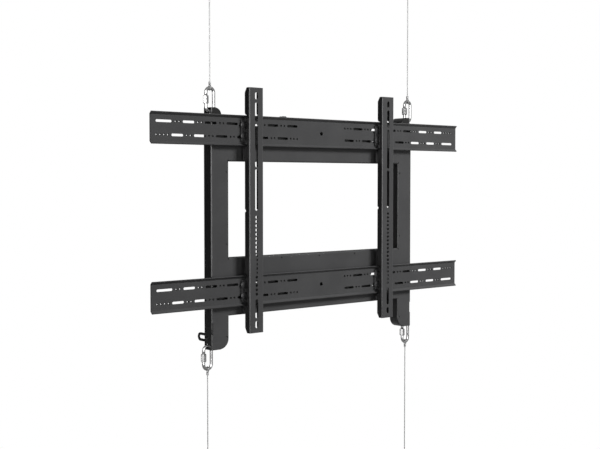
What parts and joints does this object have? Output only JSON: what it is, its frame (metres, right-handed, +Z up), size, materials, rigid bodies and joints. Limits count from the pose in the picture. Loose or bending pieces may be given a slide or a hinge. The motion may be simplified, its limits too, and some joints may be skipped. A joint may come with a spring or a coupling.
{
  "type": "floor-to-ceiling tv mount",
  "caption": "Black steel television frame hung on taut wire ropes between ceiling and floor, with two slotted rails and sliding uprights.",
  "frame": {"origin": "centre of the four ceiling screw holes, on the ceiling's face", "axes": "+Z up, +X to the right seen from the front, +Y away from the television"},
  "size_m": [0.838, 0.0734, 1.09],
  "materials": {
    "black_coat": "satin black powder coat",
    "stainless": "polished stainless steel",
    "zinc": "dark zinc-plated steel",
    "level_plastic": "moulded plastic",
    "vial": "clear tinted tube"
  },
  "bodies": {
    "frame": {"back_frame": "black_coat", "top_rail": "black_coat", "bottom_rail": "black_coat", "top_rail_spacers": "black_coat", "bottom_rail_spacers": "black_coat", "top_rail_studs": "zinc", "bottom_rail_studs": "zinc", "top_rail_nuts": "zinc", "bottom_rail_nuts": "zinc", "left_hanger": "black_coat", "right_hanger": "black_coat", "left_hanger_rivets": "black_coat", "right_hanger_rivets": "black_coat", "tie_lug": "black_coat", "tie_lug_rivet": "black_coat", "level_body": "level_plastic", "level_vial": "vial", "upper_left_link": "stainless", "upper_right_link": "stainless", "lower_left_link": "stainless", "lower_right_link": "stainless", "upper_left_eye": "stainless", "upper_right_eye": "stainless", "lower_left_eye": "stainless", "lower_right_eye": "stainless", "upper_left_ferrule": "stainless", "upper_right_ferrule": "stainless", "lower_left_ferrule": "stainless", "lower_right_ferrule": "stainless", "upper_left_rope": "stainless", "upper_right_rope": "stainless", "lower_left_rope": "stainless", "lower_right_rope": "stainless", "upper_left_gripper": "stainless", "upper_right_gripper": "stainless", "lower_left_gripper": "stainless", "lower_right_gripper": "stainless", "left_ceiling_plate": "stainless", "right_ceiling_plate": "stainless", "left_floor_plate": "stainless", "right_floor_plate": "stainless"},
    "left_upright": {"left_upright": "black_coat", "left_lock_screws": "black_coat"},
    "right_upright": {"right_upright": "black_coat", "right_lock_screws": "black_coat"},
    "upper_left_sleeve": {"upper_left_sleeve": "stainless"},
    "upper_right_sleeve": {"upper_right_sleeve": "stainless"},
    "lower_left_sleeve": {"lower_left_sleeve": "stainless"},
    "lower_right_sleeve": {"lower_right_sleeve": "stainless"}
  },
  "joints": [
    {"name": "left_upright_slide", "type": "slide", "parent": "frame", "child": "left_upright", "axis": [1, 0, 0], "range_m": [-0.2, 0.15]},
    {"name": "right_upright_slide", "type": "slide", "parent": "frame", "child": "right_upright", "axis": [1, 0, 0], "range_m": [-0.15, 0.2]},
    {"name": "upper_left_sleeve_slide", "type": "slide", "parent": "frame", "child": "upper_left_sleeve", "axis": [0, 0, -1], "range_m": [0, 0.0059]},
    {"name": "upper_right_sleeve_slide", "type": "slide", "parent": "frame", "child": "upper_right_sleeve", "axis": [0, 0, -1], "range_m": [0, 0.0059]},
    {"name": "lower_left_sleeve_slide", "type": "slide", "parent": "frame", "child": "lower_left_sleeve", "axis": [0, 0, -1], "range_m": [0, 0.0059]},
    {"name": "lower_right_sleeve_slide", "type": "slide", "parent": "frame", "child": "lower_right_sleeve", "axis": [0, 0, -1], "range_m": [0, 0.0059]}
  ]
}
